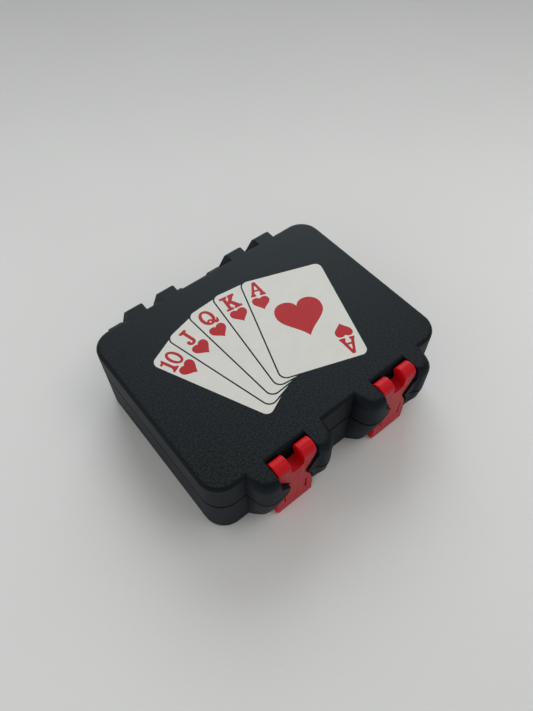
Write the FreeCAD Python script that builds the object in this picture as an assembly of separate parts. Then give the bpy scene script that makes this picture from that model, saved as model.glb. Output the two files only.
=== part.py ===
"""Hinged playing-card case: a tray and a lid joined by two pin hinges at the
back and closed by two over-centre latches at the front.  The lid carries an
inlaid fan of five cards (ten to ace of hearts).

Frame: origin at the middle of the resting face, +X to the right along the
front, -Y towards the latches, +Z up.  Millimetres.
"""
import FreeCAD
import Part
import os
from math import cos, sin, radians, pi

V = FreeCAD.Vector
os.makedirs("parts", exist_ok=True)

# ---------------------------------------------------------------- dimensions
CASE_W = 100.0          # outside width, along X
CASE_D = 74.1           # outside depth of the shells, along Y
CASE_H = 32.0           # height, closed
SEAM_Z = 18.3           # middle of the parting gap
SEAM_GAP = 0.34         # gap between the two rims
CORNER_R = 8.0          # upright corners
WALL = 3.2              # side walls
FLOOR_T = 3.0           # tray floor and lid top
TOP_ROUND = 1.5         # around the lid top
FOOT_CHAMFER = 1.0      # around the tray floor
RIM_CHAMFER = 0.25      # along both rims
LIP_T = 1.4             # raised lip on the tray rim
LIP_H = 1.6
LIP_CLEAR = 0.2

HINGE_Y = 42.9          # hinge axis
HINGE_Z = SEAM_Z
KNUCKLE_R = 4.0
HINGE_PIN_R = 1.5
HINGE_FIT = 0.08        # running clearance of the lid knuckles on the pin
LID_KNUCKLES = ((12.4, 19.2), (26.0, 33.0))
TRAY_KNUCKLES = ((6.2, 12.0), (33.4, 39.4))
HINGE_PIN_X = (7.9, 39.0)

LATCH_X = 22.5          # middle of each latch, left and right of the centre
LATCH_HW = 7.75         # half width of a latch
SLOT_HW = 8.2           # half width of the slot between the ears
PIVOT_Y, PIVOT_Z = -40.3, 29.8     # latch pivot, in the lid ears
CATCH_Y, CATCH_Z = -40.3, 7.6      # catch pin, in the tray ears
SMALL_PIN_R = 1.25      # catch pin, and the latch trunnions
LATCH_FIT = 0.08
TRUNNION_U = 9.2        # the latch trunnions end here
LOBE_R = 2.95           # the two lobes of the latch around the pivot
FORK_HW = 2.6           # half width of the gap between the lobes
FORK_Z = 26.3           # bottom of the gap
LATCH_NECK_Y = -38.5    # back of the latch behind the gap
LATCH_FRONT_Y = -43.25
LATCH_BACK_Y = -41.1
LATCH_BOTTOM_Z = 0.4
CLIP_R = 2.6            # snap clip around the catch pin
CLIP_BORE_R = 1.35
CLIP_REACH = 0.75       # how far the clip lips pass the pin's middle
CATCH_PIN_U = (-11.0, 11.4)        # along X from the latch's middle

INLAY_T = 0.6           # depth of the coloured inlays
CARD_W, CARD_H, CARD_R = 31.9, 44.7, 2.5
CARD_LINE = 0.55        # dark line left between neighbouring cards

ZR_TRAY = SEAM_Z - SEAM_GAP / 2    # tray rim
ZR_LID = SEAM_Z + SEAM_GAP / 2     # lid rim


# ------------------------------------------------------------------- helpers
def save(name, shape):
    shape.exportStep("parts/%s.step" % name)
    print("%-22s solids %d  volume %9.2f  valid %s" % (
        name, len(shape.Solids), shape.Volume, shape.isValid()))


def face_of(points):
    pts = [V(*p) for p in points]
    return Part.Face(Part.makePolygon(pts + [pts[0]]))


def prism_x(yz, x0, x1):
    return face_of([(x0, y, z) for y, z in yz]).extrude(V(x1 - x0, 0, 0))


def prism_y(xz, y0, y1):
    return face_of([(x, y0, z) for x, z in xz]).extrude(V(0, y1 - y0, 0))


def prism_z(xy, z0, z1):
    return face_of([(x, y, z0) for x, y in xy]).extrude(V(0, 0, z1 - z0))


def rod(x0, x1, y, z, r):
    return Part.makeCylinder(r, x1 - x0, V(x0, y, z), V(1, 0, 0))


def box(x0, x1, y0, y1, z0, z1):
    return Part.makeBox(x1 - x0, y1 - y0, z1 - z0, V(x0, y0, z0))


def round_box(hx, hy, z0, z1, r):
    b = box(-hx, hx, -hy, hy, z0, z1)
    up = [e for e in b.Edges
          if abs(e.Vertexes[0].Point.x - e.Vertexes[1].Point.x) < 1e-6
          and abs(e.Vertexes[0].Point.y - e.Vertexes[1].Point.y) < 1e-6]
    return b.makeFillet(r, up)


def edges_at(shape, z, outer=True):
    return [e for e in shape.Edges
            if abs(e.BoundBox.ZMin - z) < 1e-6 and abs(e.BoundBox.ZMax - z) < 1e-6]


def mirror_x(shape):
    return shape.mirror(V(0, 0, 0), V(1, 0, 0))


def soften(shape, radius, wanted):
    """Round the edges that wanted() picks, or leave them sharp if they can't be."""
    picked = [e for e in shape.Edges if wanted(e)]
    try:
        out = shape.makeFillet(radius, picked)
        if out.isValid() and len(out.Solids) == len(shape.Solids) and out.Volume > 0:
            return out.Solids[0] if len(out.Solids) == 1 else out
    except Exception:
        pass
    print("  soften: kept the sharp edges (%d picked)" % len(picked))
    return shape


# -------------------------------------------------------------------- shells
HX, HY = CASE_W / 2, CASE_D / 2
IX, IY = HX - WALL, HY - WALL

tray = round_box(HX, HY, 0.0, ZR_TRAY, CORNER_R)
tray = tray.makeChamfer(FOOT_CHAMFER, edges_at(tray, 0.0))
tray = tray.makeChamfer(RIM_CHAMFER, edges_at(tray, ZR_TRAY))

lid = round_box(HX, HY, ZR_LID, CASE_H, CORNER_R)
lid = lid.makeFillet(TOP_ROUND, edges_at(lid, CASE_H))
lid = lid.makeChamfer(RIM_CHAMFER, edges_at(lid, ZR_LID))


# ---------------------------------------------------------------- latch ears
def ear_wire(z, outline, root_y=-35.5):
    """Plan outline of one ear at height z: straight root and slot side, and a
    smooth outer flank and nose."""
    curve = Part.BSplineCurve()
    curve.interpolate([V(u, y, z) for u, y in outline])
    a = V(outline[-1][0], root_y, z)
    return Part.Wire([Part.makeLine(a, V(outline[0][0], outline[0][1], z)), curve.toShape(),
                      Part.makeLine(V(outline[-1][0], outline[-1][1], z), a)])


LEFT_LAND = [(14.8, -35.5), (14.3, -37.4), (13.3, -39.9), (12.3, -41.5), (10.8, -42.4), (8.6, -42.7), (6.0, -42.5), (3.0, -41.9)]
LEFT_FULL = [(15.9, -35.5), (15.9, -38.3), (15.4, -41.0), (14.2, -43.3), (12.0, -44.9), (8.8, -45.4), (6.0, -45.2), (3.0, -44.6)]
LEFT_SEAM = [(15.8, -35.5), (15.5, -38.2), (14.8, -41.3), (13.4, -43.8), (11.2, -45.1), (8.6, -45.4), (6.0, -45.2), (3.0, -44.6)]
LEFT_MID = [(15.8, -35.5), (15.4, -37.9), (14.5, -40.8), (13.0, -42.9), (11.0, -44.1), (8.6, -44.3), (6.0, -44.2), (3.0, -43.7)]
LEFT_LOW = [(15.7, -35.5), (15.2, -37.1), (13.5, -39.1), (12.0, -40.5), (10.3, -41.3), (8.6, -41.5), (6.0, -41.5), (3.0, -41.2)]
LEFT_FOOT = [(15.0, -35.5), (14.5, -36.7), (12.9, -38.6), (11.4, -39.9), (10.0, -40.5), (8.6, -40.7), (6.0, -40.7), (3.0, -40.4)]
# the ear on the right of each latch is fuller outside and rounded back at the slot
RIGHT_LAND = [(14.8, -35.5), (14.3, -37.4), (13.5, -39.9), (12.6, -41.5), (11.3, -42.4), (10.0, -42.6), (9.0, -42.4), (8.3, -42.1), (6.0, -42.0), (3.0, -41.6)]
RIGHT_FULL = [(15.9, -35.5), (15.9, -38.3), (15.4, -41.3), (14.2, -43.9), (12.3, -45.2), (10.4, -45.4), (9.1, -44.95), (8.3, -44.3), (6.0, -44.0), (3.0, -43.7)]
RIGHT_SEAM = [(15.8, -35.5), (15.6, -38.4), (15.1, -41.6), (14.0, -44.1), (12.2, -45.3), (10.4, -45.4), (9.1, -44.95), (8.3, -44.3), (6.0, -44.0), (3.0, -43.7)]
RIGHT_MID = [(15.8, -35.5), (15.5, -38.2), (14.9, -41.3), (13.7, -43.6), (12.0, -44.6), (10.3, -44.6), (9.1, -44.2), (8.3, -43.6), (6.0, -43.3), (3.0, -43.1)]
RIGHT_LOW = [(15.7, -35.5), (15.3, -37.3), (14.2, -39.6), (13.0, -40.9), (11.6, -41.3), (10.3, -41.0), (9.1, -40.6), (8.3, -40.4), (6.0, -40.3), (3.0, -40.2)]
RIGHT_FOOT = [(15.0, -35.5), (14.5, -36.9), (13.5, -38.9), (12.3, -40.0), (11.2, -40.3), (10.2, -40.1), (9.1, -39.8), (8.3, -39.7), (6.0, -39.6), (3.0, -39.5)]
FULL_Z = 28.0           # above this the lid ear rounds over into its top
MID_Z = 12.0            # below this the tray ear draws in to its foot
FOOT_SHELF = 1.0


def stack(levels):
    """Solid through ear outlines at rising heights."""
    wires = [ear_wire(z, o) for z, o in levels]
    parts = [Part.makeLoft([a, b], True, True) for a, b in zip(wires, wires[1:])]
    return parts[0].fuse(parts[1:])


def between(a, b, k):
    return [(p[0] + (q[0] - p[0]) * k, p[1] + (q[1] - p[1]) * k) for p, q in zip(a, b)]


def ear_blanks(land, full, seam, mid, low, foot):
    levels = [(ZR_LID, seam), (FULL_Z, full)]
    for t in (15, 30, 45, 60, 75, 90):
        levels.append((FULL_Z + (CASE_H - FULL_Z) * sin(radians(t)),
                       between(full, land, 1 - cos(radians(t)))))
    return stack(levels), stack([(0.0, foot), (FOOT_SHELF, low), (MID_Z, mid), (ZR_TRAY, seam)])


lid_blank_l, tray_blank_l = ear_blanks(LEFT_LAND, LEFT_FULL, LEFT_SEAM, LEFT_MID, LEFT_LOW, LEFT_FOOT)
lid_blank_r, tray_blank_r = ear_blanks(RIGHT_LAND, RIGHT_FULL, RIGHT_SEAM, RIGHT_MID, RIGHT_LOW, RIGHT_FOOT)

# the slot side: straight at the lid top and the foot, drawn in to a V cheek
# at the parting line, where it fills the waist of the latch; the cheek on the
# left of each latch reaches a little further in
CHEEK_L, CHEEK_R = 3.7, 4.45


def lid_cheek(tip):
    return [(17.0, CASE_H + 1), (SLOT_HW, CASE_H + 1), (SLOT_HW, 26.25), (tip, 20.4),
            (tip, 19.6), (tip + 0.65, ZR_LID), (tip + 0.65, ZR_LID - 1), (17.0, ZR_LID - 1)]


def tray_cheek(tip):
    return [(17.0, -1.0), (SLOT_HW, -1.0), (SLOT_HW, 8.5), (7.3, 13.3),
            (tip + 0.7, ZR_TRAY), (tip + 0.7, ZR_TRAY + 1), (17.0, ZR_TRAY + 1)]


def ear(blank, cheek):
    return blank.common(prism_y(cheek, -50.0, -34.0)).removeSplitter()


def four_ears(left, right):
    out = []
    for sx in (-1, 1):
        for e in (mirror_x(left), right.copy()):
            e = e.copy()
            e.translate(V(sx * LATCH_X, 0, 0))
            out.append(e)
    return out


lid_ears = four_ears(ear(lid_blank_l, lid_cheek(CHEEK_L)), ear(lid_blank_r, lid_cheek(CHEEK_R)))
tray_ears = four_ears(ear(tray_blank_l, tray_cheek(CHEEK_L)), ear(tray_blank_r, tray_cheek(CHEEK_R)))


# ------------------------------------------------------------------ knuckles
LID_KNUCKLE = [(35.5, CASE_H), (39.8, CASE_H), (41.7, CASE_H - 2.0), (46.50, 20.04),
               (HINGE_Y, HINGE_Z), (41.0, ZR_LID), (35.5, ZR_LID)]
TRAY_KNUCKLE = [(35.5, 0.0), (39.8, 0.0), (41.7, 2.0), (46.70, 17.04),
                (HINGE_Y, HINGE_Z), (41.0, ZR_TRAY), (35.5, ZR_TRAY)]


def knuckles(profile, spans):
    out = []
    for s in (-1, 1):
        for a, b in spans:
            x0, x1 = (a, b) if s > 0 else (-b, -a)
            k = prism_x(profile, x0, x1).fuse(rod(x0, x1, HINGE_Y, HINGE_Z, KNUCKLE_R)).removeSplitter()
            k = soften(k, 0.4, lambda e: e.BoundBox.YMin > 39.9 and e.BoundBox.XLength < 1e-6)
            out.append(k)
    return out


tray = tray.fuse(tray_ears + knuckles(TRAY_KNUCKLE, TRAY_KNUCKLES)).removeSplitter()
lid = lid.fuse(lid_ears + knuckles(LID_KNUCKLE, LID_KNUCKLES)).removeSplitter()

# hollow insides and the lip that locates the lid
well = round_box(IX, IY, FLOOR_T, ZR_TRAY + 3, CORNER_R - WALL)
well = well.makeFillet(1.2, edges_at(well, FLOOR_T))
lip = round_box(IX + LIP_T, IY + LIP_T, ZR_TRAY - 1.0, ZR_TRAY + LIP_H, CORNER_R - WALL + LIP_T)
lip = lip.makeChamfer(0.3, edges_at(lip, ZR_TRAY + LIP_H))
tray = tray.fuse(lip).cut(well).removeSplitter()

roof = round_box(IX, IY, ZR_LID - 3, CASE_H - FLOOR_T, CORNER_R - WALL)
roof = roof.makeFillet(1.2, edges_at(roof, CASE_H - FLOOR_T))
rebate = round_box(IX + LIP_T + LIP_CLEAR, IY + LIP_T + LIP_CLEAR, ZR_LID - 3,
                   ZR_LID + LIP_H + 0.3, CORNER_R - WALL + LIP_T + LIP_CLEAR)
lid = lid.cut(roof).cut(rebate)

# bores
for s in (-1, 1):
    x0, x1 = HINGE_PIN_X[0] - 0.1, 45.0
    if s < 0:
        x0, x1 = -x1, -x0
    tray = tray.cut(rod(x0, x1, HINGE_Y, HINGE_Z, HINGE_PIN_R + 0.01))
    lid = lid.cut(rod(x0, x1, HINGE_Y, HINGE_Z, HINGE_PIN_R + HINGE_FIT))
    u = s * LATCH_X
    lid = lid.cut(rod(u - TRUNNION_U - 0.2, u + TRUNNION_U + 0.2, PIVOT_Y, PIVOT_Z,
                      SMALL_PIN_R + LATCH_FIT))
    tray = tray.cut(rod(u + CATCH_PIN_U[0] - 0.1, u + 18.0, CATCH_Y, CATCH_Z, SMALL_PIN_R + 0.01))


# ------------------------------------------------------------------- latches
def make_latch():
    side = prism_x([(LATCH_FRONT_Y, PIVOT_Z), (LATCH_FRONT_Y, 8.2),
                    (LATCH_FRONT_Y - 0.4, LATCH_BOTTOM_Z + 0.6), (LATCH_FRONT_Y - 0.15, LATCH_BOTTOM_Z),
                    (LATCH_BACK_Y - 0.4, LATCH_BOTTOM_Z), (LATCH_BACK_Y, LATCH_BOTTOM_Z + 0.6),
                    (LATCH_BACK_Y, 22.6), (LATCH_NECK_Y, 25.2), (LATCH_NECK_Y + 0.15, 27.6),
                    (PIVOT_Y, PIVOT_Z)],
                   -LATCH_HW, LATCH_HW)
    lobes = []
    for s in (-1, 1):
        x0, x1 = (FORK_HW, LATCH_HW) if s > 0 else (-LATCH_HW, -FORK_HW)
        r = rod(x0, x1, PIVOT_Y, PIVOT_Z, LOBE_R)
        lobes.append(r.makeFillet(0.35, [e for e in r.Edges if e.BoundBox.XLength < 1e-6]))
    clip = rod(-6.2, 6.2, CATCH_Y, CATCH_Z, CLIP_R)
    clip = clip.fuse(box(-6.2, 6.2, LATCH_BACK_Y - 0.5, CATCH_Y, CATCH_Z - CLIP_R, CATCH_Z + CLIP_R))
    clip = clip.cut(box(-9, 9, CATCH_Y + CLIP_REACH, CATCH_Y + 9, 0, 14))
    # the top is an open fork: two lobes with a round-bottomed gap between them
    gap = box(-FORK_HW, FORK_HW, -46, -36, FORK_Z, 35)
    gap = gap.makeFillet(1.7, [e for e in gap.Edges
                               if abs(e.BoundBox.ZMax - FORK_Z) < 1e-6 and e.BoundBox.YLength > 5])
    body = side.cut(gap).fuse([clip] + lobes)
    # front outline: full width at the eye and the finger tab, and a waist
    # between them that the cheeks of the ears fill
    def outline(inset):
        hw = LATCH_HW - inset
        right, left = [[(hw, 34.0), (hw, top), (knee - inset, 25.4), (waist - inset, 20.1),
                        (waist - inset, 19.6), (6.7 - inset, 13.3), (hw + 0.1, 6.8),
                        (hw + 0.1, LATCH_BOTTOM_Z + 0.3), (hw - 0.2, LATCH_BOTTOM_Z - 0.1)]
                       for top, knee, waist in ((28.2, 6.45, CHEEK_R - 0.7),
                                                (26.3, 7.06, CHEEK_L - 0.7))]
        return right + [(-x, z) for x, z in reversed(left)]

    def wire(points, y):
        pts = [V(x, y, z) for x, z in points]
        return Part.makePolygon(pts + [pts[0]])

    bevel_y = LATCH_FRONT_Y + 0.25
    front = Part.makeLoft([wire(outline(0.8), bevel_y - 1.0), wire(outline(0), bevel_y)], True, True)
    body = body.common(prism_y(outline(0), bevel_y, -35).fuse(front))
    # two short grooves beside the edges of the finger tab
    for s in (-1, 1):
        g = box(s * 4.5 - 0.35, s * 4.5 + 0.35, LATCH_FRONT_Y - 0.8, LATCH_FRONT_Y + 0.55, 6.2, 13.2)
        g = g.makeFillet(0.3, [e for e in g.Edges if e.BoundBox.YLength > 1.0])
        body = body.cut(g)

    body = body.cut(rod(-10, 10, CATCH_Y, CATCH_Z, CLIP_BORE_R))
    # trunnions that snap into the blind sockets of the lid ears
    for s in (-1, 1):
        t = Part.makeCylinder(SMALL_PIN_R, TRUNNION_U - LATCH_HW + 1.5,
                              V(s * (LATCH_HW - 1.5), PIVOT_Y, PIVOT_Z), V(s, 0, 0))
        t = t.makeChamfer(0.5, [e for e in t.Edges
                                if abs(abs(e.BoundBox.Center.x) - TRUNNION_U) < 1e-6
                                and e.BoundBox.XLength < 1e-6])
        body = body.fuse(t)
    body = body.removeSplitter()
    return body


latch = make_latch()

# -------------------------------------------------------------------- inlays
CARDS = [  # name, middle x, middle y, lean to the left in degrees
    ("ten", -14.15, 1.2, 24.7),
    ("jack", -6.85, 2.55, 14.3),
    ("queen", 0.6, 2.75, 3.1),
    ("king", 8.3, 1.5, -7.0),
    ("ace", 15.14, -1.65, -19.6),
]
Z_IN = CASE_H - INLAY_T


def card_blank(cx, cy, lean, grow=0.0, z0=Z_IN, z1=CASE_H):
    hw, hh = CARD_W / 2 + grow, CARD_H / 2 + grow
    b = round_box(hw, hh, z0, z1, CARD_R + grow)
    b.rotate(V(0, 0, 0), V(0, 0, 1), lean)
    b.translate(V(cx, cy, 0))
    return b


def heart(scale, notch=5.2):
    """Heart, 18 wide and 16.8 high at scale 1."""
    segs = [[(0, notch), (0.7, 7.1), (2.3, 8.0), (4.3, 8.0)],
            [(4.3, 8.0), (7.1, 8.0), (9.0, 5.9), (9.0, 3.0)],
            [(9.0, 3.0), (9.0, -1.9), (3.1, -3.9), (0, -8.8)]]
    edges = []
    for sg in segs:
        c = Part.BezierCurve()
        c.setPoles([V(x * scale, y * scale, 0) for x, y in sg])
        edges.append(c.toShape())
    for sg in reversed(segs):
        c = Part.BezierCurve()
        c.setPoles([V(-x * scale, y * scale, 0) for x, y in reversed(sg)])
        edges.append(c.toShape())
    return Part.Face(Part.Wire(edges)).extrude(V(0, 0, INLAY_T))


def flat(points):
    return face_of([(x, y, 0) for x, y in points]).extrude(V(0, 0, INLAY_T))


def oval(cx, cy, rx, ry):
    if rx > ry:
        e = Part.Ellipse(V(cx, cy, 0), rx, ry)
        edge = e.toShape()
    else:
        e = Part.Ellipse(V(cx, cy, 0), ry, rx)
        edge = e.toShape()
        edge.rotate(V(cx, cy, 0), V(0, 0, 1), 90)
    return Part.Face(Part.Wire([edge])).extrude(V(0, 0, INLAY_T))


def joined(parts):
    return parts[0].fuse(parts[1:]).removeSplitter() if len(parts) > 1 else parts[0]


def mark_A():
    out = flat([(-0.4, 3.5), (0.4, 3.5), (0.68, 3.25), (2.5, -2.3), (2.85, -2.65), (2.85, -3.5),
                (0.6, -3.5), (0.6, -2.6), (1.0, -2.3), (0.84, -1.25), (-0.95, -1.25),
                (-1.2, -2.3), (-0.88, -2.6), (-0.88, -3.5), (-2.85, -3.5), (-2.85, -2.65),
                (-2.4, -2.3), (-0.68, 3.25)])
    return out.cut(flat([(-0.7, -0.4), (0.6, -0.4), (0.05, 1.55), (-0.2, 1.55)]))


def mark_K():
    return joined([
        flat([(-2.12, -3.0), (-0.85, -3.0), (-0.85, 3.0), (-2.12, 3.0)]),
        flat([(-3.1, 2.4), (-0.15, 2.4), (-0.15, 3.5), (-3.1, 3.5)]),
        flat([(-3.1, -3.35), (-0.2, -3.35), (-0.2, -2.3), (-3.1, -2.3)]),
        flat([(-0.95, -0.75), (-0.95, 0.65), (0.5, 2.5), (2.4, 2.5), (0.85, 0.65), (-0.2, -0.5)]),
        flat([(0.15, 2.4), (2.85, 2.4), (2.85, 3.5), (0.15, 3.5)]),
        flat([(-0.35, -0.35), (0.75, 0.7), (2.85, -2.5), (0.85, -2.5)]),
        flat([(0.15, -3.35), (3.2, -3.35), (3.2, -2.3), (0.15, -2.3)])])


def mark_Q():
    ring = oval(0, 0.24, 2.7, 3.56).cut(oval(0, 0.2, 1.4, 2.5))
    curl = Part.makeCylinder(1.2, INLAY_T, V(-0.1, -1.85, 0))
    tail = flat([(0.1, -2.6), (0.9, -3.25), (1.5, -3.75), (2.1, -3.85), (2.65, -3.4), (3.0, -2.5),
                 (3.12, -1.75), (2.8, -1.55), (2.3, -2.2), (1.9, -2.5), (1.2, -1.7)])
    return joined([ring, curl, tail]).cut(Part.makeCylinder(0.38, INLAY_T, V(-0.15, -1.95, 0)))


def mark_J():
    hook = Part.makeCylinder(1.68, INLAY_T, V(-0.46, -1.85, 0))
    hook = hook.cut(Part.makeCylinder(0.52, INLAY_T, V(-0.52, -1.9, 0)))
    hook = hook.cut(box(-3, 3, -1.85, 3, -1, 2))
    return joined([
        hook,
        flat([(-0.05, -1.9), (1.2, -1.9), (1.2, 3.0), (-0.05, 3.0)]),
        flat([(-0.3, 2.2), (1.4, 2.2), (1.95, 2.6), (1.95, 3.5), (-1.05, 3.5), (-1.05, 2.6)]),
        Part.makeCylinder(0.7, INLAY_T, V(-1.4, -1.75, 0))])


def mark_10():
    one = flat([(-3.4, -3.25), (-0.55, -3.25), (-0.55, -2.55), (-1.05, -2.15), (-1.3, -1.4),
                (-1.3, 3.45), (-1.85, 3.45), (-2.4, 2.9), (-3.35, 2.75), (-3.4, 2.05),
                (-2.95, 1.8), (-2.4, 2.0), (-2.4, -1.4), (-2.75, -2.15), (-3.4, -2.55)])
    zero = oval(1.72, 0.18, 2.13, 3.48).cut(oval(1.72, 0.14, 1.05, 2.44))
    return one, zero


def placed(shape, x, y, lean):
    s = shape.copy()
    s.rotate(V(0, 0, 0), V(0, 0, 1), lean)
    s.translate(V(x, y, Z_IN))
    return s


one, zero = mark_10()
indices = {
    "index_ten": [placed(one, -31.8, 11.45, 24.7), placed(zero, -31.8, 11.45, 24.7)],
    "index_jack": [placed(mark_J(), -21.95, 16.25, 14.3)],
    "index_queen": [placed(mark_Q(), -11.64, 18.95, 3.1)],
    "index_king": [placed(mark_K(), -0.76, 19.65, -7.0)],
    "index_ace_upper": [placed(mark_A(), 10.4, 18.91, -19.6)],
    "index_ace_lower": [placed(mark_A(), 19.81, -21.76, 160.4)],
}
small = heart(0.362, 6.0)
small_hearts = [placed(small, -28.65, 5.43, 24.7), placed(small, -20.43, 9.55, 14.3),
                placed(small, -11.55, 11.75, 3.1), placed(small, -1.6, 12.9, -7.0),
                placed(small, 7.95, 12.32, -19.6), placed(small, 22.2, -15.29, 160.4)]
large_heart = placed(heart(1.0), 15.1, -1.6, -19.6)

marks = [m for group in indices.values() for m in group] + small_hearts + [large_heart]
card_shapes = {}
pocket = []
for i, (name, cx, cy, lean) in enumerate(CARDS):
    c = card_blank(cx, cy, lean)
    for _, ox, oy, ol in CARDS[i + 1:]:
        c = c.cut(card_blank(ox, oy, ol, CARD_LINE, Z_IN - 1, CASE_H + 1))
    c = max(c.Solids, key=lambda s: s.Volume)
    pocket.append(c)
    for m in marks:
        if c.BoundBox.intersect(m.BoundBox) and c.common(m).Volume > 1e-4:
            c = c.cut(m)
    # the white inside the closed letters is the same print, in islands
    card_shapes[name] = Part.makeCompound(c.Solids) if len(c.Solids) > 1 else c.Solids[0]

for c in pocket:
    deep = c.copy()
    lid = lid.cut(deep)

# --------------------------------------------------------------------- pieces
save("base_shell", tray)
save("lid_shell", lid)
for s, side in ((-1, "left"), (1, "right")):
    part = latch.copy()
    part.translate(V(s * LATCH_X, 0, 0))
    save("latch_" + side, part)
    x0, x1 = HINGE_PIN_X if s > 0 else (-HINGE_PIN_X[1], -HINGE_PIN_X[0])
    pin = rod(x0, x1, HINGE_Y, HINGE_Z, HINGE_PIN_R)
    save("hinge_pin_" + side, pin.makeChamfer(0.25, [e for e in pin.Edges if e.BoundBox.XLength < 1e-6]))
    pin = rod(s * LATCH_X + CATCH_PIN_U[0], s * LATCH_X + CATCH_PIN_U[1], CATCH_Y, CATCH_Z, SMALL_PIN_R)
    save("latch_catch_pin_" + side, pin.makeChamfer(0.2, [e for e in pin.Edges if e.BoundBox.XLength < 1e-6]))
for name in card_shapes:
    save("card_" + name, card_shapes[name])
for name, group in indices.items():
    save(name, Part.makeCompound(group) if len(group) > 1 else group[0])
save("small_hearts", Part.makeCompound(small_hearts))
save("large_heart", large_heart)
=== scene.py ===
"""Looks of the hinged playing-card case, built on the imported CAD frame."""
import math

import bpy
from mathutils import Matrix, Vector

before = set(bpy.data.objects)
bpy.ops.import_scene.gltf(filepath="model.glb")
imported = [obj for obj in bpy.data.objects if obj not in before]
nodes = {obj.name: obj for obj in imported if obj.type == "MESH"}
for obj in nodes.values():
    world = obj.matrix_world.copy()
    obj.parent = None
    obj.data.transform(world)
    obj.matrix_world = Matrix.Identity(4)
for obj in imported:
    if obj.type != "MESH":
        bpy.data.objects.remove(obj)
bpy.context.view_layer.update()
scene = bpy.context.scene

MM = 0.001
CASE_H = 32.0 * MM
RIM_Z = 18.3 * MM
FLOOR_T = 3.0 * MM


# --------------------------------------------------------------- node helpers
class Graph:
    """Small wrapper that keeps the node code short."""

    def __init__(self, name):
        self.mat = bpy.data.materials.new(name)
        self.mat.use_nodes = True
        self.t = self.mat.node_tree
        self.t.nodes.clear()
        self.out = self.t.nodes.new("ShaderNodeOutputMaterial")
        self.bsdf = self.t.nodes.new("ShaderNodeBsdfPrincipled")
        self.link(self.bsdf.outputs[0], self.out.inputs[0])

    def link(self, a, b):
        self.t.links.new(a, b)

    def node(self, kind, **props):
        n = self.t.nodes.new(kind)
        for k, v in props.items():
            setattr(n, k, v)
        return n

    def put(self, socket, value):
        if isinstance(value, bpy.types.NodeSocket):
            self.link(value, socket)
        else:
            socket.default_value = value

    def math(self, op, a, b=0.0, clamp=False):
        n = self.node("ShaderNodeMath", operation=op, use_clamp=clamp)
        self.put(n.inputs[0], a)
        self.put(n.inputs[1], b)
        return n.outputs[0]

    def step(self, value, lo, hi, a=0.0, b=1.0):
        n = self.node("ShaderNodeMapRange", clamp=True, interpolation_type="SMOOTHSTEP")
        self.put(n.inputs["Value"], value)
        for k, v in (("From Min", lo), ("From Max", hi), ("To Min", a), ("To Max", b)):
            self.put(n.inputs[k], v)
        return n.outputs[0]

    def coords(self):
        return self.node("ShaderNodeTexCoord")

    def xyz(self, vector):
        n = self.node("ShaderNodeSeparateXYZ")
        self.link(vector, n.inputs[0])
        return n.outputs

    def combine(self, x, y, z):
        n = self.node("ShaderNodeCombineXYZ")
        for i, v in enumerate((x, y, z)):
            self.put(n.inputs[i], v)
        return n.outputs[0]

    def noise(self, vector, scale, detail=2.0, rough=0.5, out="Fac"):
        n = self.node("ShaderNodeTexNoise", noise_dimensions="3D")
        self.put(n.inputs["Vector"], vector)
        n.inputs["Scale"].default_value = scale
        n.inputs["Detail"].default_value = detail
        n.inputs["Roughness"].default_value = rough
        return n.outputs[out]

    def noise1(self, w, scale, detail=1.0, rough=0.5):
        n = self.node("ShaderNodeTexNoise", noise_dimensions="1D")
        self.put(n.inputs["W"], w)
        n.inputs["Scale"].default_value = scale
        n.inputs["Detail"].default_value = detail
        n.inputs["Roughness"].default_value = rough
        return n.outputs["Fac"]

    def mix(self, fac, a, b):
        n = self.node("ShaderNodeMix", data_type="FLOAT")
        self.put(n.inputs[0], fac)
        self.put(n.inputs[2], a)
        self.put(n.inputs[3], b)
        return n.outputs[0]

    def mix_col(self, fac, a, b, kind="MIX"):
        n = self.node("ShaderNodeMix", data_type="RGBA", blend_type=kind)
        self.put(n.inputs[0], fac)
        self.put(n.inputs[6], a)
        self.put(n.inputs[7], b)
        return n.outputs[2]

    def worn_edges(self, radius):
        n = self.node("ShaderNodeBevel", samples=4)
        n.inputs["Radius"].default_value = radius
        return n.outputs[0]

    def bump(self, height, strength, distance, normal=None):
        n = self.node("ShaderNodeBump")
        self.put(n.inputs["Height"], height)
        self.put(n.inputs["Strength"], strength)
        n.inputs["Distance"].default_value = distance
        if normal is not None:
            self.link(normal, n.inputs["Normal"])
        return n.outputs[0]


def rgba(r, g, b):
    return (r, g, b, 1.0)


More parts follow.
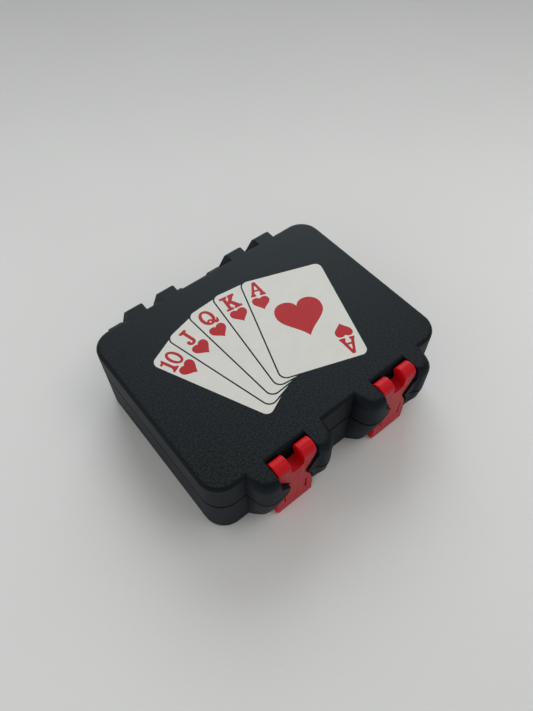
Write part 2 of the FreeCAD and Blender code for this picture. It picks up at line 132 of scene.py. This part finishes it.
def printed_shell(name, bed_z, flat, wall, gloss, tint):
    """Black printed plastic.  Faces lying on the bed plate (bed_z) are pebbled,
    upright faces show the layers, other level faces show the nozzle's passes."""
    g = Graph(name)
    tc = g.coords()
    pos = tc.outputs["Object"]
    x, y, z = g.xyz(pos)
    nx, ny, nz = g.xyz(tc.outputs["Normal"])
    level = g.step(g.math("ABSOLUTE", nz), 0.93, 0.985)
    on_bed = g.math("LESS_THAN", g.math("ABSOLUTE", g.math("SUBTRACT", z, bed_z)), 0.05 * MM)
    pebbled = g.math("MULTIPLY", level, on_bed)

    # pebbles of the plate
    grain = g.noise(pos, 1500.0, 2.0, 0.55)
    coarse = g.noise(pos, 520.0, 2.0, 0.5)
    pebble = g.math("ADD", g.math("MULTIPLY", grain, 1.0), g.math("MULTIPLY", coarse, 0.2))

    # layers, 0.2 mm, each a little different from the next
    wave = g.math("SINE", g.math("MULTIPLY", z, 2 * math.pi / (0.2 * MM)))
    uneven = g.noise1(z, 1 / (0.45 * MM), 2.0, 0.6)
    drift = g.noise(g.combine(g.math("MULTIPLY", x, 32.0), g.math("MULTIPLY", y, 32.0),
                              g.math("MULTIPLY", z, 3400.0)), 1.0, 2.0, 0.6)
    layers = g.math("ADD", g.math("MULTIPLY", wave, 0.16),
                    g.math("ADD", g.math("MULTIPLY", uneven, 0.8), g.math("MULTIPLY", drift, 0.55)))

    # nozzle passes at 45 degrees, 0.42 mm
    diag = g.math("MULTIPLY", g.math("ADD", x, y), 0.70710678)
    pass_wave = g.math("SINE", g.math("MULTIPLY", diag, 2 * math.pi / (0.42 * MM)))
    pass_uneven = g.noise1(diag, 1 / (0.8 * MM), 2.0, 0.6)
    passes = g.math("ADD", g.math("MULTIPLY", pass_wave, 0.30), g.math("MULTIPLY", pass_uneven, 0.7))

    flat_h = g.mix(on_bed, passes, pebble)
    height = g.mix(level, layers, flat_h)
    soft = g.worn_edges(0.25 * MM)
    normal = g.bump(height, g.mix(pebbled, 0.55, 0.65), 0.065 * MM, soft)
    g.link(normal, g.bsdf.inputs["Normal"])

    # the narrow bevels where the two rims meet are made fully rough and nearly black: painted shade, a dark seam
    # line standing in for the shadow in the gap
    painted_seam_shade = g.math("MULTIPLY", g.math("LESS_THAN", y, 37.3 * MM),
                 g.step(g.math("ABSOLUTE", g.math("SUBTRACT", z, RIM_Z)), 0.40 * MM, 0.50 * MM, 1.0, 0.0))
    rough_flat = g.mix(on_bed, 0.42, g.step(grain, 0.35, 0.7, 0.36, 0.62))
    rough = g.mix(level, g.step(uneven, 0.3, 0.7, 0.50, 0.62), rough_flat)
    g.link(g.mix(painted_seam_shade, rough, 1.0), g.bsdf.inputs["Roughness"])
    tone = g.mix(level, g.step(drift, 0.3, 0.7, 0.1, 0.5), g.mix(on_bed, g.step(pass_uneven, 0.3, 0.7, 0.0, 0.5),
                                                              g.step(grain, 0.38, 0.64, 0.0, 1.0)))
    sloped = g.mix_col(g.step(nz, 0.12, 0.5), g.mix_col(tone, *wall), BEVEL_BLACK)
    colour = g.mix_col(level, sloped, g.mix_col(tone, *flat))
    # painted shade: the seam band is coloured nearly black
    g.link(g.mix_col(painted_seam_shade, colour, rgba(0.0012, 0.0014, 0.0017)), g.bsdf.inputs["Base Color"])
    g.bsdf.inputs["Specular IOR Level"].default_value = gloss
    g.bsdf.inputs["Specular Tint"].default_value = tint
    return g.mat


def printed_latch(name, base, pale):
    """Red printed plastic, laid down in planes across X."""
    g = Graph(name)
    tc = g.coords()
    pos = tc.outputs["Object"]
    x, y, z = g.xyz(pos)
    nx, ny, nz = g.xyz(tc.outputs["Normal"])
    wave = g.math("SINE", g.math("MULTIPLY", x, 2 * math.pi / (0.2 * MM)))
    uneven = g.noise1(x, 1 / (0.5 * MM), 2.0, 0.6)
    drift = g.noise(g.combine(g.math("MULTIPLY", x, 2600.0), g.math("MULTIPLY", y, 120.0),
                              g.math("MULTIPLY", z, 120.0)), 1.0, 2.0, 0.6)
    layers = g.math("ADD", g.math("MULTIPLY", wave, 0.15),
                    g.math("ADD", g.math("MULTIPLY", uneven, 0.7), g.math("MULTIPLY", drift, 0.7)))
    side = g.step(g.math("ABSOLUTE", nx), 0.9, 0.98)
    front_sheen = g.step(g.math("MULTIPLY", ny, -1.0), 0.85, 0.97)
    grain = g.noise(pos, 1500.0, 2.0, 0.55)
    height = g.mix(side, layers, grain)
    g.link(g.bump(height, 0.5, 0.05 * MM, g.worn_edges(0.2 * MM)), g.bsdf.inputs["Normal"])
    g.link(g.step(uneven, 0.3, 0.7, 0.36, 0.50), g.bsdf.inputs["Roughness"])
    colour = g.mix_col(g.step(drift, 0.3, 0.7), base, pale)
    # painted sheen: faces looking to the front get a duller, paler and pinker red than the lobes, standing in
    # for the pale floor's reflection, with streaks of the print
    band = g.noise(g.combine(g.math("MULTIPLY", x, 900.0), g.math("MULTIPLY", y, 120.0),
                             g.math("MULTIPLY", z, 150.0)), 1.0, 3.0, 0.6)
    streaks_and_painted_sheen = g.mix_col(g.step(g.math("ADD", g.math("MULTIPLY", band, 0.75), g.math("MULTIPLY", drift, 0.25)), 0.26, 0.74),
                       rgba(0.335, 0.0085, 0.0150), rgba(0.408, 0.0185, 0.0275))
    g.link(g.mix_col(front_sheen, colour, streaks_and_painted_sheen), g.bsdf.inputs["Base Color"])
    g.bsdf.inputs["Specular IOR Level"].default_value = 0.165
    return g.mat


def inlay(name, base, pale):
    """Inlaid plastic, printed on the same pebbled plate as the lid top."""
    g = Graph(name)
    pos = g.coords().outputs["Object"]
    x, y, z = g.xyz(pos)
    grain = g.noise(pos, 1500.0, 2.0, 0.55)
    coarse = g.noise(pos, 520.0, 2.0, 0.5)
    pebble = g.math("ADD", g.math("MULTIPLY", grain, 1.0), g.math("MULTIPLY", coarse, 0.2))
    g.link(g.bump(pebble, 0.45, 0.05 * MM), g.bsdf.inputs["Normal"])
    patch = g.math("ADD", g.math("MULTIPLY", g.noise(pos, 240.0, 2.0, 0.6), 0.4),
                   g.math("MULTIPLY", g.noise(pos, 1900.0, 2.0, 0.6), 0.6))
    g.link(g.mix_col(g.step(patch, 0.3, 0.7), base, pale), g.bsdf.inputs["Base Color"])
    g.link(g.step(grain, 0.35, 0.7, 0.42, 0.6), g.bsdf.inputs["Roughness"])
    g.bsdf.inputs["Specular IOR Level"].default_value = 0.25
    return g.mat


def steel(name):
    g = Graph(name)
    pos = g.coords().outputs["Object"]
    x, y, z = g.xyz(pos)
    fine = g.noise(g.combine(g.math("MULTIPLY", x, 9000.0), g.math("MULTIPLY", y, 500.0),
                             g.math("MULTIPLY", z, 500.0)), 1.0, 2.0, 0.6)
    g.link(g.bump(fine, 0.25, 0.01 * MM), g.bsdf.inputs["Normal"])
    g.link(g.step(fine, 0.3, 0.7, 0.26, 0.42), g.bsdf.inputs["Roughness"])
    g.link(g.mix_col(g.step(fine, 0.3, 0.7), rgba(0.50, 0.51, 0.53), rgba(0.60, 0.61, 0.62)),
           g.bsdf.inputs["Base Color"])
    g.bsdf.inputs["Metallic"].default_value = 1.0
    return g.mat


BED_BLACK = rgba(0.0064, 0.0064, 0.0064), rgba(0.0200, 0.0198, 0.0196)
WALL_BLACK = rgba(0.0042, 0.0061, 0.0088), rgba(0.0068, 0.0093, 0.0126)
BEVEL_BLACK = rgba(0.0042, 0.0050, 0.0062)
lid_black = printed_shell("lid_black_print", CASE_H, BED_BLACK, WALL_BLACK, 0.145, rgba(0.62, 0.87, 1.0))
base_black = printed_shell("tray_black_print", 0.0, BED_BLACK, WALL_BLACK, 0.155, rgba(0.62, 0.87, 1.0))
latch_red = printed_latch("latch_red_print", rgba(0.50, 0.0015, 0.006), rgba(0.56, 0.002, 0.008))
white_inlay = inlay("white_inlay_print", rgba(0.665, 0.650, 0.598), rgba(0.715, 0.700, 0.645))
red_inlay = inlay("red_inlay_print", rgba(0.42, 0.0095, 0.0135), rgba(0.46, 0.0125, 0.0180))
pin_steel = steel("ground_steel")


def dress(obj, mat):
    obj.data.materials.clear()
    obj.data.materials.append(mat)


for name, obj in nodes.items():
    if name == "base_shell":
        dress(obj, base_black)
    elif name == "lid_shell":
        dress(obj, lid_black)
    elif name in ("latch_left", "latch_right"):
        dress(obj, latch_red)
    elif name.startswith("card_"):
        dress(obj, white_inlay)
    elif name.startswith("index_") or name in ("small_hearts", "large_heart"):
        dress(obj, red_inlay)
    else:
        dress(obj, pin_steel)

# ---------------------------------------------------------------------- stage
bpy.ops.mesh.primitive_plane_add(size=6.0, location=(0, 0, 0))
floor = bpy.context.object
floor.name = "floor"
g = Graph("floor_paper")
pos = g.coords().outputs["Object"]
soft = g.noise(pos, 9.0, 3.0, 0.5)
fibre = g.noise(pos, 900.0, 2.0, 0.5)
tone = g.math("ADD", g.math("MULTIPLY", soft, 0.7), g.math("MULTIPLY", fibre, 0.3))
paper = g.mix_col(g.step(tone, 0.3, 0.7), rgba(0.775, 0.762, 0.735), rgba(0.80, 0.787, 0.76))
fx, fy, fz = g.xyz(pos)
# painted shade: the paper is made darker further back and towards the front, standing in for the light falling
# off across the floor
away = g.math("ADD", g.math("MULTIPLY", fx, 0.62), g.math("MULTIPLY", fy, 0.78))
painted_floor_shade = g.math("MULTIPLY", g.step(away, 0.02, 0.42, 1.0, 0.59),
               g.step(g.math("MULTIPLY", fy, -1.0), 0.05, 0.22, 1.0, 0.89))
g.link(g.mix_col(1.0, paper, g.combine(painted_floor_shade, painted_floor_shade, painted_floor_shade), "MULTIPLY"), g.bsdf.inputs["Base Color"])
g.bsdf.inputs["Roughness"].default_value = 0.75
g.bsdf.inputs["Specular IOR Level"].default_value = 0.25
floor.data.materials.append(g.mat)


def area(name, where, target, size, power, colour=(1, 1, 1)):
    data = bpy.data.lights.new(name, "AREA")
    data.shape = "RECTANGLE"
    data.size, data.size_y = size
    data.energy = power
    data.color = colour
    obj = bpy.data.objects.new(name, data)
    scene.collection.objects.link(obj)
    obj.location = where
    obj.rotation_mode = "QUATERNION"
    obj.rotation_quaternion = (Vector(target) - Vector(where)).to_track_quat("-Z", "Y")
    return obj


area("key", (0.24, -0.20, 0.60), (0.06, -0.02, 0.0), (0.36, 0.36), 0.80, (1.0, 1.0, 0.985))
area("back", (2.30, 3.28, 2.95), (0.0, 0.0, 0.0), (3.4, 3.4), 108.0, (0.885, 0.96, 1.0))

world = bpy.data.worlds.new("world")
scene.world = world
world.use_nodes = True
wt = world.node_tree
bg = wt.nodes["Background"]
wc = wt.nodes.new("ShaderNodeTexCoord")
ws = wt.nodes.new("ShaderNodeSeparateXYZ")
wt.links.new(wc.outputs["Generated"], ws.inputs[0])
wr = wt.nodes.new("ShaderNodeMapRange")         # bright near the horizon, dim overhead
wt.links.new(ws.outputs[2], wr.inputs["Value"])
for socket, v in (("From Min", 0.05), ("From Max", 0.85), ("To Min", 1.26), ("To Max", 0.20)):
    wr.inputs[socket].default_value = v
wd = wt.nodes.new("ShaderNodeVectorMath")       # a little brighter from the left and behind
wd.operation = "DOT_PRODUCT"
wt.links.new(wc.outputs["Generated"], wd.inputs[0])
wd.inputs[1].default_value = (-0.8, 0.6, 0.0)
wm = wt.nodes.new("ShaderNodeMath")
wm.operation = "MULTIPLY_ADD"
wt.links.new(wd.outputs["Value"], wm.inputs[0])
wm.inputs[1].default_value = 0.30
wm.inputs[2].default_value = 1.0
wx = wt.nodes.new("ShaderNodeMath")
wx.operation = "MULTIPLY"
wt.links.new(wr.outputs[0], wx.inputs[0])
wt.links.new(wm.outputs[0], wx.inputs[1])
wt.links.new(wx.outputs[0], bg.inputs[1])
bg.inputs[0].default_value = (0.975, 0.985, 1.0, 1.0)

# --------------------------------------------------------------------- camera
cam_data = bpy.data.cameras.new("camera")
cam = bpy.data.objects.new("camera", cam_data)
scene.collection.objects.link(cam)
rot = Matrix(((0.77612943, 0.51893574, -0.3582301),
              (-0.63057286, 0.63783118, -0.44220951),
              (-0.00098799, 0.56910199, 0.82226635)))
cam.matrix_world = Matrix.Translation((-0.0750686458, -0.09284451686, 0.19190067716)) @ rot.to_4x4()
cam_data.sensor_width = 36.0
cam_data.lens = 28.884473
cam_data.clip_start = 0.005
cam_data.clip_end = 50.0
scene.camera = cam

scene.view_settings.view_transform = "Standard"
scene.view_settings.look = "None"
